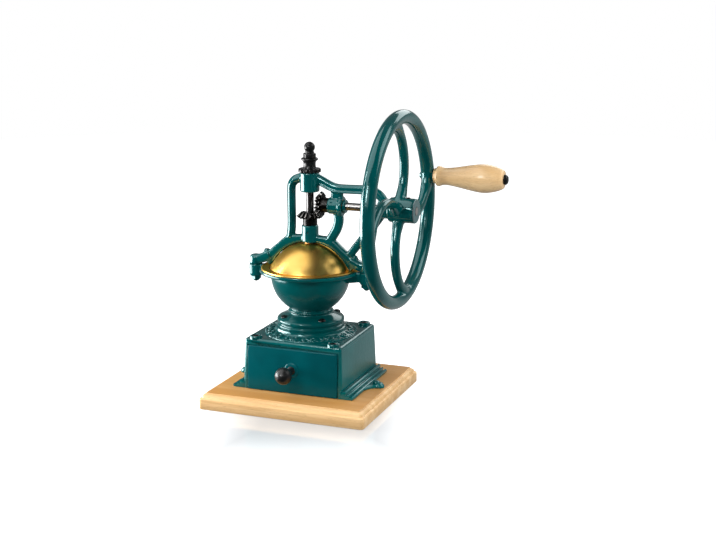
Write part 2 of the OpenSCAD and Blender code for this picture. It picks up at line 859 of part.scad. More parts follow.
module pinion() {
    color("DimGray")
    difference() {
        union() {
            translate([0, 0, z_axis]) rotate([0, -90, 0]) rotate([0, 0, 180 / gear_n]) bevel_teeth();
            rod_x(gear_r + 0.2, barrel_x - run_gap, gear_hub_r);
        }
        rod_x(0, barrel_x, shaft_r + seat);
    }
}

module adjuster() {
    spool = z_star + star_t + spool_h;
    color("Black")
    difference() {
        union() {
            rod_z(z_star, z_star + star_t, star_d / 2);
            rod_z(z_star + star_t - melt, spool, spool_d / 2);
            rod_z(spool, z_lock, cap_d / 2);
        }
        rod_z(z_star - melt, z_lock + melt, shaft_r + run);
        for (i = [0:star_n - 1])
            rotate([0, 0, 360 * i / star_n]) translate([star_d / 2, 0, z_star - melt])
                cylinder(r = 1.7, h = star_t + 2 * melt);
    }
}

module lock_nut() {
    color("Black")
    difference() {
        translate([0, 0, z_lock]) cylinder(r = shaft_r + 2.6, h = lock_h, $fn = 6);
        rod_z(z_lock - melt, z_finial + melt, shaft_r + run);
    }
}

module drive_shaft() {
    color("Silver") rod_x(gear_r - 4.5, hub_end, shaft_r);
}

module thrust_collar() {
    color("DarkSlateGray")
    difference() {
        rod_x(collar_x + run_gap, collar_x + 4.5, barrel_r + 1);
        rod_x(collar_x, collar_x + 6, shaft_r + seat);
    }
}

module spoke() {
    from = 50;
    sweep = 112;
    translate([-spoke_rise, spoke_side, 0]) rotate([0, 0, from])
        rotate_extrude(angle = sweep) translate([spoke_bend, 0]) circle(d = spoke_d);
}

module flywheel() {
    color("DarkSlateGray")
    difference() {
        union() {
            translate([wheel_x, 0, z_axis]) rotate([0, 90, 0]) {
                rotate_extrude() translate([rim_r, 0]) circle(d = rim_d);
                for (i = [0:spoke_n - 1]) rotate([0, 0, 360 * i / spoke_n]) spoke();
            }
            rod_x(hub_x, hub_end, hub_r);
            pin_rod(wheel_x, pad_x, pad_r);
        }
        rod_x(hub_x - melt, hub_end + melt, shaft_r + seat);
        pin_rod(pin_end, pad_x + melt, pin_r + seat);
        translate([hub_end - 9, 0, z_axis]) cylinder(r = screw_r + seat, h = hub_r + melt);
    }
}

module hub_screw() {
    color("Black") translate([hub_end - 9, 0, z_axis + shaft_r]) difference() {
        cylinder(r = screw_r, h = hub_r - shaft_r + 0.6);
        translate([0, 0, hub_r - shaft_r - 1]) cylinder(r = 1.2, h = 2, $fn = 6);
    }
}

module crank_pin() {
    r = pin_head_d / 2;
    color("Black") {
        pin_rod(pin_end, head_x + melt, pin_r);
        translate([head_x, pin_y, pin_z]) rotate([0, 90, 0])
            rotate_extrude()
                polygon([[0, 0], [r, 0], [r, 1.2], [r * 0.87, 2.6], [r * 0.58, 3.8], [0, 4.3]]);
    }
}

module grip() {
    k = grip_l / 75;
    w = grip_d / 30;
    turned = smooth([[8, 0], [8.3, 1.6], [10.4, 3.6], [10.6, 6.4], [9.3, 10], [9.1, 14], [10.4, 24],
        [13.4, 40], [15, 52], [14.3, 61], [12, 69], [9.6, 75]], 3);
    outline = concat([[0, 0]], [for (p = turned) [p[0] * w, p[1] * k]], [[0, grip_l]]);
    color("Wheat")
    difference() {
        translate([grip_x, pin_y, pin_z]) rotate([0, 90, 0]) rotate_extrude() polygon(outline);
        pin_rod(grip_x - melt, grip_x + grip_l + melt, pin_r + run);
    }
}

base_board();
box_casting();
ear_screws();
corner_screws();
rail_left();
rail_right();
drawer_front();
drawer_tray();
drawer_knob();
knob_screw();
bowl_casting();
collar_screws();
outer_burr();
dome_rear();
dome_front();
yoke();
yoke_bolts();
brim_screws();
lower_bush();
upper_bush();
inner_bush();
outer_bush();
spindle();
inner_burr();
burr_nut();
finial();
crown_gear();
gear_key();
adjuster();
lock_nut();
drive_shaft();
pinion();
thrust_collar();
flywheel();
hub_screw();
crank_pin();
grip();
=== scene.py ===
"""Looks of a table coffee mill: enamelled casting, brass dome, beech board and grip.

Lengths in the shapes are millimetres. Z is up, X points to the flywheel and the drawer faces minus Y.
"""

import json
import math

import bmesh
import bpy
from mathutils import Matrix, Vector


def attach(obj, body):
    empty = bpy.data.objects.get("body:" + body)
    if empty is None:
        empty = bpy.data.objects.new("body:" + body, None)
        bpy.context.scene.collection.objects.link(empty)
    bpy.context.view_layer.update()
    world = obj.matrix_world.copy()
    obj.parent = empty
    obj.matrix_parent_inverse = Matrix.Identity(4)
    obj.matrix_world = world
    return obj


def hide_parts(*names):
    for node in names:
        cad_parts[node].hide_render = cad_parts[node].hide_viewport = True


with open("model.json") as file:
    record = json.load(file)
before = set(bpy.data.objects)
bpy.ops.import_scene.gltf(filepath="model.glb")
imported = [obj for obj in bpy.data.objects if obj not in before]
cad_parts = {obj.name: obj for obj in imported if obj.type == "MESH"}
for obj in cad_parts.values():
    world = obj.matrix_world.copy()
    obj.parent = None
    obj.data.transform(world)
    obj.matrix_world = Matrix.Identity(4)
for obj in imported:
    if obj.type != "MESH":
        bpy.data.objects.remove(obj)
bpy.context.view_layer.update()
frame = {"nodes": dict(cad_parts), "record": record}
MM = 0.001
X, Y, Z = Vector((1, 0, 0)), Vector((0, 1, 0)), Vector((0, 0, 1))

# Levels above the floor
BOARD_TOP = 16.8
KNOB_Z = 41.6
BOX_TOP = 70.0
DISC_TOP = 77.0
DOME_MID = 118.5
BOWL_MID = 131.0
RIM = 137.5
AXIS = 204.4
BOSS_LOW = 217.4
BOSS_TOP = 237.4

# Widths, radii and distances from the spindle
BOARD_WIDE, BOARD_DEEP = 180, 170
BOX_WIDE, BOX_DEEP = 110, 103
BOX_LEAN = 2.0
CELL_HALF = 49.8
OUTLET = 18.5
BOWL = 41
EAR_X = 62
BRIM_SCREW_X = 49
BUSH = 6.1
YOKE_HALF = 4.25
STAR = 11.5
WHEEL_X = 97.0
WHEEL_MID, WHEEL_HALF = 92.75, 7.25
HUB_END = 115
PIN = Vector((0, 90.187, 226.052))
CORNERS = [(sx * 42.8, sy * 43.5) for sx in (-1, 1) for sy in (-1, 1)]

# Radius that stands for the axis of a turned shape, where its points merge
TIP = 0.001


# Node trees


class Value:
    """A number in a node tree that takes part in sums."""

    def __init__(self, tree, socket):
        self.tree = tree
        self.socket = socket

    def math(self, operation, *others):
        node = self.tree.add("ShaderNodeMath", operation=operation)
        for socket, value in zip(node.inputs, (self, *others)):
            self.tree.put(socket, value)
        return Value(self.tree, node.outputs[0])

    def __add__(self, other):
        return self.math("ADD", other)

    def __sub__(self, other):
        return self.math("SUBTRACT", other)

    def __mul__(self, other):
        return self.math("MULTIPLY", other)

    def __pow__(self, other):
        return self.math("POWER", other)

    def __rsub__(self, other):
        return self * -1 + other

    __radd__ = __add__
    __rmul__ = __mul__

    def step(self, low, high, first=0.0, last=1.0):
        """first below low and last above high, smooth between them."""
        node = self.tree.add(
            "ShaderNodeMapRange",
            {"Value": self, "From Min": low, "From Max": high, "To Min": first, "To Max": last},
            interpolation_type="SMOOTHSTEP",
        )
        return Value(self.tree, node.outputs[0])


class Tree:
    """A node tree under construction."""

    def __init__(self, group):
        self.nodes = group.nodes
        self.links = group.links
        self.nodes.clear()

    def add(self, kind, inputs=None, **settings):
        """A new node: its settings first, then the values or links of its sockets."""
        node = self.nodes.new(kind)
        for name, value in settings.items():
            setattr(node, name, value)
        for name, value in (inputs or {}).items():
            self.put(node.inputs[name], value)
        return node

    def put(self, socket, value):
        if isinstance(value, Value):
            value = value.socket
        if isinstance(value, bpy.types.NodeSocket):
            self.links.new(value, socket)
        else:
            socket.default_value = value

    def split(self, place):
        """The three numbers of a place or direction."""
        node = self.add("ShaderNodeSeparateXYZ", {"Vector": place})
        return [Value(self, socket) for socket in node.outputs]


class Paint(Tree):
    """A material with a principled surface, and the nodes that feed it."""

    def __init__(self, name, **surface):
        self.material = bpy.data.materials.new(name)
        self.material.use_nodes = True
        super().__init__(self.material.node_tree)
        self.surface = self.add("ShaderNodeBsdfPrincipled")
        self.add("ShaderNodeOutputMaterial", {"Surface": self.surface.outputs[0]})
        self.place = self.add("ShaderNodeTexCoord").outputs["Object"]
        self.set(**surface)

    def set(self, **inputs):
        for name, value in inputs.items():
            self.put(self.surface.inputs[name.replace("_", " ")], value)

    def axes(self):
        return self.split(self.place)

    def pattern(self, place, scale, detail, rough=0.5):
        inputs = {"Vector": place, "Scale": scale, "Detail": detail, "Roughness": rough}
        return Value(self, self.add("ShaderNodeTexNoise", inputs).outputs[0])

    def noise(self, scale, stretch=(1, 1, 1), detail=3, rough=0.5, shift=(0, 0, 0)):
        mapped = self.add("ShaderNodeMapping", {"Vector": self.place, "Location": shift, "Scale": stretch})
        return self.pattern(mapped.outputs[0], scale, detail, rough)

    def mix(self, factor, first, second):
        node = self.add("ShaderNodeMix", data_type="RGBA")
        for index, value in ((0, factor), (6, first), (7, second)):
            self.put(node.inputs[index], value)
        return node.outputs[2]

    def bump(self, height, depth, under=None):
        """height, from 0 to 1, stands for depth in millimetres."""
        node = self.add("ShaderNodeBump", {"Height": height, "Distance": depth * MM})
        if under is not None:
            self.put(node.inputs["Normal"], under)
        return node.outputs[0]


def colour(red, green, blue, part=1.0):
    """A colour, or a darker one when part is below 1."""
    return (red * part, green * part, blue * part, 1.0)


def ring_distance(first, second):
    return (first * first + second * second) ** 0.5


# Materials


def enamel(name, bare_end=False, pits=0.05, dull=0.07, index=1.72, painted_light_level=1.0, blue=1.02, zones=()):
    """Glossy green enamel over a slightly uneven casting.

    A zone holds the four heights at which it starts, is full, fades and ends, how much painted shade
    darkens the colour in it, and how much duller the enamel is in it.
    """
    paint = Paint(name, IOR=index, Specular_Tint=colour(0.66, 1.0, 1.0))
    cloud = paint.noise(28, detail=2)
    grit = paint.noise(520, detail=4, rough=0.6)
    # The level scales the green of the base colour: painted light above 1, painted shade below 1.
    low, high = (colour(0.0, green * painted_light_level, green * painted_light_level * blue) for green in (0.058, 0.074))
    base = paint.mix(cloud.step(0.3, 0.7), low, high)
    base = paint.mix(grit.step(0.62, 0.78) * 0.35, base, colour(0.002, 0.1, 0.105))
    rough = dull + paint.noise(160, detail=2) * 0.1
    for start, full, fade, end, painted_shade, matt in zones:
        up = paint.axes()[2]
        band = up.step(start * MM, full * MM) - up.step(fade * MM, end * MM)
        # Painted shade: the zone darkens the base colour towards black.
        base = paint.mix(band * painted_shade, base, colour(0.0, 0.0, 0.0))
        rough = rough + band * matt
    if bare_end:
        bare, grey = bare_iron(paint)
        base = paint.mix(bare, base, grey)
        rough = rough + bare * 0.25
        paint.set(Metallic=bare * 0.85)
    swell = paint.bump(paint.noise(60, detail=1), 0.12)
    normal = paint.bump(paint.noise(420, detail=3), pits, swell)
    paint.set(Base_Color=base, Roughness=rough, Normal=normal)
    return paint.material


def bare_iron(paint):
    """Where the wheel hub's end is turned bare, and the grey of its lathe rings."""
    along, across, up = paint.axes()
    edge = paint.noise(900, detail=2) * (0.5 * MM)
    bare = (along + edge).step((HUB_END - 0.65) * MM, (HUB_END - 0.25) * MM)
    radius = ring_distance(across, up - AXIS * MM)
    turned = (radius * 9000).math("SINE") * 0.5 + 0.5
    grey = paint.mix(turned * paint.noise(700), colour(0.15, 0.2, 0.21), colour(0.3, 0.36, 0.38))
    return bare, grey


def wood(name, light, dark, gloss=0.38, coat=0.25, stain_and_shade=None):
    """Lacquered beech: long grain along X with short darker flecks, and painted shade that darkens the
    board's top.
    """
    paint = Paint(name, IOR=1.3 + 0.72 * coat, Coat_Weight=coat, Coat_Roughness=0.18)
    grain = (0.04, 1, 1)
    bands = paint.noise(95, grain, detail=4, rough=0.55)
    lines = paint.noise(560, grain, detail=3, rough=0.65, shift=(0.3, 0.1, 0.2))
    fleck = paint.noise(1500, (0.12, 1, 1), detail=1, shift=(0.7, 0.4, 0.1))
    broad = paint.noise(14, detail=1)
    base = paint.mix(bands.step(0.3, 0.7), colour(*light), colour(*dark))
    base = paint.mix(lines.step(0.46, 0.66) * 0.6, base, colour(*dark, 0.85))
    base = paint.mix(fleck.step(0.62, 0.74) * 0.45, base, colour(*dark, 0.6))
    warm = colour(light[0], light[1] * 0.95, light[2] * 0.85)
    base = paint.mix(broad.step(0.35, 0.75) * 0.3, base, warm)
    # Painted shade: the board's top is darker and more orange than its front and sides.
    if stain_and_shade:
        top = paint.axes()[2].step((BOARD_TOP - 0.6) * MM, (BOARD_TOP - 0.1) * MM)
        base = paint.mix(top * (0.66 + bands * 0.3), base, colour(*stain_and_shade))
    normal = paint.bump(lines * 0.6 + fleck * 0.4, 0.05)
    paint.set(Base_Color=base, Roughness=gloss + lines * 0.14, Normal=normal)
    return paint.material


def brass(name):
    """Satin sheet, spun round the spindle."""
    paint = Paint(name, Metallic=1.0, Specular_Tint=colour(1.0, 0.76, 0.4))
    across, back, up = paint.axes()
    place = paint.add("ShaderNodeCombineXYZ", {"X": ring_distance(across, back), "Y": up})
    spun = paint.pattern(place.outputs[0], 2600, 3)
    stain_and_shade = paint.noise(32, detail=3)
    base = paint.mix(stain_and_shade.step(0.35, 0.75), colour(0.8, 0.51, 0.14), colour(0.68, 0.405, 0.085))
    base = paint.mix(spun.step(0.3, 0.8) * 0.25, base, colour(0.84, 0.58, 0.2))
    rough = 0.27 + spun * 0.06 + stain_and_shade * 0.05
    paint.set(Base_Color=base, Roughness=rough, Normal=paint.bump(spun, 0.004))
    return paint.material


def black(name, sheen=0.2, level=0.3):
    """Black oxide with a worn, slightly grey bloom."""
    paint = Paint(name, Specular_IOR_Level=level)
    bloom = paint.noise(170, detail=4, rough=0.6)
    fine = paint.noise(1400, detail=3)
    base = paint.mix(bloom.step(0.35, 0.7), colour(0.004, 0.005, 0.005), colour(0.011, 0.011, 0.012))
    base = paint.mix(fine.step(0.66, 0.8) * 0.5, base, colour(0.035, 0.034, 0.033))
    paint.set(Base_Color=base, Roughness=sheen + bloom * 0.12, Normal=paint.bump(fine, 0.02))
    return paint.material


def turned_metal(name, light, dark, axis, sheen=0.22):
    """Bright turned metal with fine lathe lines across one axis."""
    paint = Paint(name, Metallic=1.0)
    stretch = [0.02, 0.02, 0.02]
    stretch[axis] = 1
    lines = paint.noise(3200, stretch, detail=2)
    smear = paint.noise(110, detail=3)
    base = paint.mix(smear.step(0.3, 0.75), colour(*light), colour(*dark))
    base = paint.mix(lines.step(0.5, 0.75) * 0.5, base, colour(*dark, 0.55))
    paint.set(Base_Color=base, Roughness=sheen + lines * 0.16, Normal=paint.bump(lines, 0.01))
    return paint.material


def gear_iron(name, upright):
    """Dark oiled iron, rubbed bright on the lands of the teeth and on the pinion's back."""
    paint = Paint(name, Metallic=0.9)
    x, y, z = paint.axes()
    drop = z - AXIS * MM
    rub = paint.noise(600, detail=3).step(0.3, 0.6)
    if upright:
        wear = (ring_distance(x, y) + drop).step(0.9 * MM, 1.7 * MM) * rub
    else:
        radius = ring_distance(y, drop)
        back = (radius + x).step(25.5 * MM, 25.8 * MM) * radius.step(7.7 * MM, 8.1 * MM)
        wear = ((radius - x).step(0.9 * MM, 1.7 * MM) * rub).math("MAXIMUM", back)
    oil = paint.noise(240, detail=4, rough=0.6)
    base = paint.mix(oil.step(0.35, 0.7), colour(0.01, 0.01, 0.01), colour(0.035, 0.034, 0.033))
    base = paint.mix(wear * 0.85, base, colour(0.55, 0.52, 0.5))
    paint.set(Base_Color=base, Roughness=0.2 + oil * 0.15, Normal=paint.bump(paint.noise(900), 0.04))
    return paint.material


# Painted shade darkens the box's top with its disc and ornament, and the bowl's collar and lower half; the
# box's walls are only duller.
BOX_MATT_AND_SHADE_ZONES = (25, 27, 65, 67, 0, 0.2), (67, 69, 90, 92, 0.34, 0)
BOWL_SHADE_AND_MATT_ZONES = (70, 72, 94, 97, 0.2, 0), (94, 97, 106, 128, 0.22, 0.16)
BRONZE = (0.6, 0.36, 0.16), (0.48, 0.27, 0.11)
BOARD_TOP_SHADE = (0.47, 0.215, 0.045)
MATERIALS = {
    "enamel": enamel("enamel"),
    # The box and bowl copies are painted lighter and the wheel's copy painted darker: painted light and shade
    # on one enamel.
    "wheel_enamel": enamel("wheel_enamel", bare_end=True, painted_light_level=0.86),
    "box_enamel": enamel("box_enamel", pits=0.2, painted_light_level=1.4, zones=BOX_MATT_AND_SHADE_ZONES),
    "front_enamel": enamel("front_enamel", dull=0.18, index=1.28, painted_light_level=0.98, blue=1.18),
    "bowl_enamel": enamel("bowl_enamel", pits=0.06, dull=0.1, index=1.5, painted_light_level=1.12, zones=BOWL_SHADE_AND_MATT_ZONES),
    "board_wood": wood("board_wood", (0.86, 0.6, 0.32), (0.64, 0.37, 0.145), coat=0.06, stain_and_shade=BOARD_TOP_SHADE),
    "grip_wood": wood("grip_wood", (0.78, 0.56, 0.31), (0.66, 0.42, 0.2), gloss=0.22),
    "tray_wood": wood("tray_wood", (0.62, 0.45, 0.27), (0.5, 0.34, 0.18), gloss=0.55),
    "brass": brass("brass"),
    "black_metal": black("black_metal"),
    "black_knob": black("black_knob", 0.3, 0.6),
    "steel_z": turned_metal("steel_z", (0.15, 0.15, 0.15), (0.09, 0.085, 0.085), 2),
    "steel_x": turned_metal("steel_x", (0.42, 0.41, 0.4), (0.28, 0.27, 0.26), 0),
    "bronze_z": turned_metal("bronze_z", *BRONZE, 2, 0.3),
    "bronze_x": turned_metal("bronze_x", *BRONZE, 0, 0.3),
    "crown_iron": gear_iron("crown_iron", True),
    "pinion_iron": gear_iron("pinion_iron", False),
    "burr_iron": turned_metal("burr_iron", (0.24, 0.23, 0.23), (0.14, 0.13, 0.13), 2, 0.35),
}


# Shapes


def polar(radius, degrees):
    angle = math.radians(degrees)
    return (radius * math.cos(angle), radius * math.sin(angle))


def arc(centre, radius, start, end, parts):
    """Points of a circular arc in a plane, with angles in degrees."""
    spread = [polar(radius, start + (end - start) * i / parts) for i in range(parts + 1)]
    return [(centre[0] + x, centre[1] + y) for x, y in spread]


def rod(radius, low, high):
    """The outline of a plain turned rod."""
    return [(0, low), (radius, low), (radius, high), (0, high)]


def smooth(points, parts=6):
    """A smooth line through given points."""
    points = [Vector(p) for p in points]
    last = len(points) - 1
    line = []
    for i in range(last):
        a, b, c, d = points[max(i - 1, 0)], points[i], points[i + 1], points[min(i + 2, last)]
        bend = 2 * a - 5 * b + 4 * c - d
        twist = 3 * b - a - 3 * c + d
        for k in range(parts):
            t = k / parts
            line.append(0.5 * (2 * b + (c - a) * t + bend * t**2 + twist * t**3))
    return line + [points[last]]


def round_rectangle(wide, painted_shade, radius, z, parts=8):
    """A rectangle with round corners at height z."""
    line = []
    for sx, sy, start in ((1, 1, 0), (-1, 1, 90), (-1, -1, 180), (1, -1, 270)):
        middle = (sx * (wide / 2 - radius), sy * (painted_shade / 2 - radius))
        line += [(x, y, z) for x, y in arc(middle, radius, start, start + 90, parts)]
    return line


def layers(outline, levels):
    """Rings of one outline: each level is a height and a share of the outline's size."""
    return [[(x * share, y * share, z) for x, y in outline] for z, share in levels]


def hexagon(radius, first=0):
    return [polar(radius, 60 * i + first) for i in range(6)]


class Form:
    """Points and faces of a shape under construction, in millimetres."""

    def __init__(self):
        self.points = []
        self.faces = []

    def loft(self, rings, closed=False):
        """Closed rings joined in order, with flat ends unless the last joins the first."""
        start, count = len(self.points), len(rings[0])
        for ring in rings:
            self.points += [Vector(p) for p in ring]
        pairs = len(rings) if closed else len(rings) - 1
        for i in range(pairs):
            a, b = start + i * count, start + (i + 1) % len(rings) * count
            for k in range(count):
                n = (k + 1) % count
                self.faces.append((a + k, a + n, b + n, b + k))
        if not closed:
            end = start + (len(rings) - 1) * count
            self.faces.append(tuple(range(start + count - 1, start - 1, -1)))
            self.faces.append(tuple(range(end, end + count)))
        return self

    def turn(self, outline, steps, along=Z, at=(0, 0, 0), closed=False):
        """A turned shape: outline has (radius, distance along the axis) pairs."""
        side = Y if along == X else X
        other = along.cross(side)
        rings = []
        for i in range(steps):
            a = 2 * math.pi * i / steps
            out = side * math.cos(a) + other * math.sin(a)
            rings.append([Vector(at) + out * max(r, TIP) + along * h for r, h in outline])
        if closed:
            return self.loft(rings, closed=True)
        start, count = len(self.points), len(outline)
        for ring in rings:
            self.points += ring
        for i in range(steps):
            a, b = start + i * count, start + (i + 1) % steps * count
            for k in range(count - 1):
                self.faces.append((a + k, b + k, b + k + 1, a + k + 1))
        return self

    def bar(self, path, across, half, thick, power=2.0, sides=24):
        """A bar along a line: half and thick are its half sizes in the line's plane and across it.

        A power of 2 gives a round section, a higher one a squarer section and a lower one a sharper one.
        """
        path = [Vector(p) for p in path]
        last = len(path) - 1
        rings = []
        for i, point in enumerate(path):
            way = (path[min(i + 1, last)] - path[max(i - 1, 0)]).normalized()
            out = across.cross(way)
            h = half[i] if isinstance(half, list) else half
            t = thick[i] if isinstance(thick, list) else thick
            ring = []
            for k in range(sides):
                c, s = math.cos(2 * math.pi * k / sides), math.sin(2 * math.pi * k / sides)
                u = math.copysign(abs(c) ** (2 / power), c)
                v = math.copysign(abs(s) ** (2 / power), s)
                ring.append(point + out * (u * h) + across * (v * t))
            rings.append(ring)
        return self.loft(rings)

    def make(self, name):
        mesh = bpy.data.meshes.new(name)
        mesh.from_pydata([p * MM for p in self.points], [], self.faces)
        piece = bpy.data.objects.new(name, mesh)
        bpy.context.scene.collection.objects.link(piece)
        clean(piece)
        return piece


def clean(piece):
    """Merges doubles and turns the normals outwards."""
    bm = bmesh.new()
    bm.from_mesh(piece.data)
    bmesh.ops.remove_doubles(bm, verts=bm.verts, dist=0.004 * MM)
    bmesh.ops.dissolve_degenerate(bm, edges=bm.edges, dist=0.001 * MM)
    bmesh.ops.recalc_face_normals(bm, faces=bm.faces)
    bm.to_mesh(piece.data)
    bm.free()


def settle(piece):
    """Turns the modifiers of a piece into plain mesh."""
    shown = piece.evaluated_get(bpy.context.evaluated_depsgraph_get())
    mesh = bpy.data.meshes.new_from_object(shown)
    piece.modifiers.clear()
    old = piece.data
    piece.data = mesh
    bpy.data.meshes.remove(old)
    return piece


def modify(piece, kind, **settings):
    """Gives a piece a modifier that stays live."""
    modifier = piece.modifiers.new(kind.lower(), kind)
    for name, value in settings.items():
        setattr(modifier, name, value)


def change(piece, kind, **settings):
    """Gives a piece a modifier and settles it."""
    modify(piece, kind, **settings)
    return settle(piece)


def edges(width, segments, angle):
    """Settings of a bevel on edges sharper than an angle in degrees."""
    return {
        "width": width * MM,
        "segments": segments,
        "limit_method": "ANGLE",
        "angle_limit": math.radians(angle),
    }


def bevel(piece, width, segments, angle):
    return change(piece, "BEVEL", **edges(width, segments, angle))


def cast(piece, cell, rounds):
    """Melts overlapping shapes into one casting with soft inner and outer edges."""
    change(piece, "REMESH", mode="VOXEL", voxel_size=cell * MM)
    return change(piece, "SMOOTH", factor=0.5, iterations=rounds)


def cut(piece, *tools):
    for tool in tools:
        change(piece, "BOOLEAN", operation="DIFFERENCE", solver="EXACT", object=tool)
        bpy.data.objects.remove(tool)
    clean(piece)
    return piece


def join(first, *others):
    bm = bmesh.new()
    for piece in (first, *others):
        bm.from_mesh(piece.data)
    bm.to_mesh(first.data)
    bm.free()
    for piece in others:
        bpy.data.objects.remove(piece)
    return first


def block(name, low, high):
    """A plain tool for cuts."""
    (a, b, c), (d, e, f) = low, high
    return Form().loft([[(a, b, z), (d, b, z), (d, e, z), (a, e, z)] for z in (c, f)]).make(name)


def repeat_tree():
    """Puts a piece on every point of a mesh, turned by the point's own angles."""
    group = bpy.data.node_groups.new("repeat", "GeometryNodeTree")
    inputs = {"Points": "Geometry", "Piece": "Object", "Size": "Float", "Material": "Material"}
    for name, kind in inputs.items():
        group.interface.new_socket(name, in_out="INPUT", socket_type="NodeSocket" + kind)
    group.interface.new_socket("Mesh", in_out="OUTPUT", socket_type="NodeSocketGeometry")
    tree = Tree(group)
    given = tree.add("NodeGroupInput").outputs
    turn = tree.add("GeometryNodeInputNamedAttribute", {"Name": "turn"}, data_type="FLOAT_VECTOR")
    angles = tree.add("FunctionNodeEulerToRotation", {"Euler": turn.outputs["Attribute"]})
    thing = tree.add("GeometryNodeObjectInfo", {"Object": given["Piece"]}, transform_space="ORIGINAL")
    copies = tree.add(
        "GeometryNodeInstanceOnPoints",
        {
            "Points": given["Points"],
            "Instance": thing.outputs["Geometry"],
            "Rotation": angles.outputs[0],
            "Scale": given["Size"],
        },
    )
    real = tree.add("GeometryNodeRealizeInstances", {"Geometry": copies.outputs[0]})
    finish = {"Geometry": real.outputs[0], "Material": given["Material"]}
    painted = tree.add("GeometryNodeSetMaterial", finish)
    tree.add("NodeGroupOutput", {"Mesh": painted.outputs[0]})
    return group


REPEAT = repeat_tree()


def repeat(name, piece, places, material, size=1.0):
    """One mesh of copies of a piece. A place is a point in millimetres and three angles in degrees."""
    mesh = bpy.data.meshes.new(name)
    mesh.from_pydata([Vector(p) * MM for p, _ in places], [], [])
    turn = mesh.attributes.new("turn", "FLOAT_VECTOR", "POINT")
    for item, (_, angles) in zip(turn.data, places):
        item.vector = [math.radians(a) for a in angles]
    many = bpy.data.objects.new(name, mesh)
    bpy.context.scene.collection.objects.link(many)
    modifier = many.modifiers.new("repeat", "NODES")
    modifier.node_group = REPEAT
    sockets = {item.name: item.identifier for item in REPEAT.interface.items_tree if item.in_out == "INPUT"}
    modifier[sockets["Piece"]] = piece
    modifier[sockets["Size"]] = size
    modifier[sockets["Material"]] = MATERIALS[material]
    settle(many)
    bpy.data.objects.remove(piece)
    return many


def round_places(count, radius, height, tilt=0.0, shift=0.5, extra=0.0):
    """Places on a circle round the spindle, each turned to face outwards, plus extra degrees."""
    places = []
    for i in range(count):
        a = 360 * (i + shift) / count
        places.append(((*polar(radius, a), height), (0, tilt, a + extra)))
    return places


def pair_places(x, height, right, left):
    """One place on each side of the mill, turned by the degrees right and left."""
    return [((x, 0, height), (0, 0, right)), ((-x, 0, height), (0, 0, left))]


def show(piece, node, material, angle):
    """Finishes a piece that stands for a node of the frame."""
    piece.data.materials.clear()
    piece.data.materials.append(MATERIALS[material])
    for face in piece.data.polygons:
        face.material_index = 0
        face.use_smooth = True
    piece.data.set_sharp_from_angle(angle=math.radians(angle))
    bodies = frame["record"]["behaviour"]["bodies"]
    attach(piece, next(body for body, members in bodies.items() if node in members))
    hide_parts(node)


# Board and grounds box


def make_board():
    edge = [(0.5, 0.0), (0.0, 0.5), (0.0, 9.8), (0.12, 10.4), (0.45, 10.9), (1.0, 11.2), (1.9, 11.3)]
    edge.append((2.15, 11.5))
    edge += [(5.8 - x, 11.7 + y) for x, y in arc((0, 0), 3.5, 0, 82, 8)]
    edge += [(6.0, 15.3), (6.05, 16.2), (6.3, 16.6), (6.8, BOARD_TOP)]
    rings = []
    for inset, z in edge:
        corner = max(4 - inset * 0.4, 1.5)
        rings.append(round_rectangle(BOARD_WIDE - 2 * inset, BOARD_DEEP - 2 * inset, corner, z))
    show(Form().loft(rings).make("board"), "base_board", "board_wood", 60)


def box_outline(z, inset=0.0):
    """The outline of the box at a height. Its walls lean inwards."""
    lean = BOX_LEAN * (z - BOARD_TOP) / (BOX_TOP - BOARD_TOP) + inset
    return round_rectangle(BOX_WIDE - 2 * lean, BOX_DEEP - 2 * lean, 3.0, z, 6)


def box_shell():
    """Walls and top, open below and in front, with the outlet under the bowl."""
    fillet = 2.4
    start = BOX_TOP - fillet
    rings = [box_outline(BOARD_TOP), box_outline(40.0), box_outline(start)]
    for t in (0.3, 0.6, 0.9, 1.2, 1.45, 1.57):
        rings.append(box_outline(start + fillet * math.sin(t), fillet - fillet * math.cos(t)))
    shell = cut(
        Form().loft(rings).make("box"),
        block("mouth", (-CELL_HALF, -70, 10), (CELL_HALF, 0, 63.5)),
        block("cell", (-CELL_HALF, -46.3, 10), (CELL_HALF, 46.3, 65)),
        Form().turn(rod(OUTLET, 60, 72), steps=96).make("outlet"),
    )
    return bevel(shell, 0.5, 2, 50)


def box_skirt(side):
    """A stepped moulding along one side."""
    outline = [(-3.6, 0), (11.0, 0)] + arc((9.7, 1.8), 1.8, -40, 132, 12) + [(8.0, 2.4), (7.5, 2.4)]
    outline += arc((6.0, 3.9), 1.35, -35, 132, 10) + [(4.6, 4.4), (4.1, 4.4)]
    outline += arc((2.2, 6.5), 1.9, -50, 140, 14) + [(0.3, 7.2), (-3.6, 7.4)]
    wall = BOX_WIDE / 2
    rings = [[(side * (wall + x), y, BOARD_TOP + z) for x, z in outline] for y in (-51.2, 51.2)]
    return bevel(Form().loft(rings).make("skirt"), 0.25, 2, 70)


def box_ear(side):
    """A flat screw ear at the foot of the skirting."""
    line = smooth([(60, 20.5), (66.2, 17.0), (68.6, 12.0), (71.6, 7.6), (75.4, 5.6)], 5)
    line += [Vector(p) for p in arc((76.0, 0), 5.6, 75, 0, 6)]
    outline = [(p.x, p.y) for p in line] + [(p.x, -p.y) for p in reversed(line[:-1])]
    root = 62
    rings = []
    for z, wide in ((0.0, 1.0), (1.8, 1.0), (2.6, 0.95), (3.1, 0.86), (3.3, 0.7)):
        long = 0.5 + wide / 2
        rings.append([(side * (root + (x - root) * long), y * wide, BOARD_TOP + z) for x, y in outline])
    boss = [(0, 0), (5.4, 0), (5.4, 2.4), (5.1, 3.6), (4.4, 4.5), (3.2, 5.0), (0, 5.1)]
    ear = Form().loft(rings).turn(boss, at=(side * 75.2, 0, BOARD_TOP), steps=40)
    return cast(ear.make("ear"), 0.45, 4)


